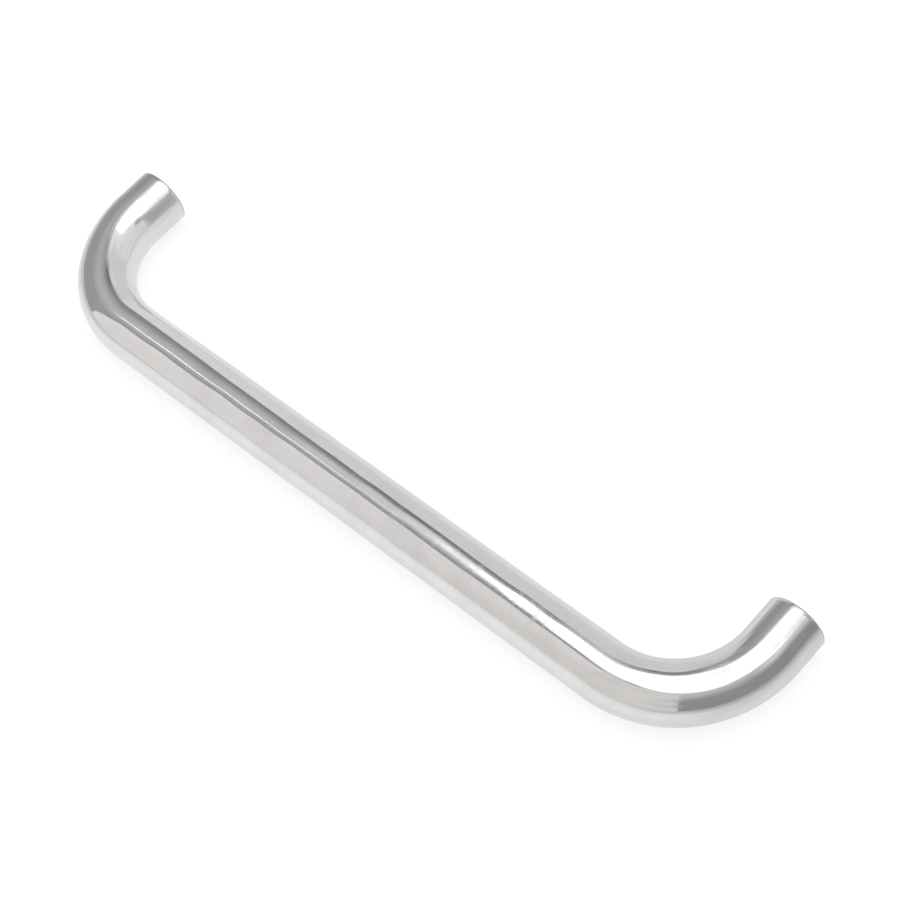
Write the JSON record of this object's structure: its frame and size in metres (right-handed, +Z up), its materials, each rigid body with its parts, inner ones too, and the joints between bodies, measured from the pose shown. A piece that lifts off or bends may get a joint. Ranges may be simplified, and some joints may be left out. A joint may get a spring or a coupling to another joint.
{
  "type": "bridge pull handle",
  "caption": "Round-bar bridge pull handle, bent at both ends, with square-cut ends tapped for fixing screws from behind.",
  "frame": {"origin": "midway between the two tapped holes, on the plane of the handle's ends", "axes": "+X along the grip, +Y into the door or drawer front that the handle is screwed to, +Z up with the grip level; the handle lies on its side in this frame"},
  "size_m": [0.322, 0.063, 0.022],
  "materials": {
    "polished_stainless": "mirror-polished solid stainless steel, not plated, with fine polishing lines across the bar"
  },
  "bodies": {
    "root": {"pull_handle": "polished_stainless"}
  },
  "joints": []
}
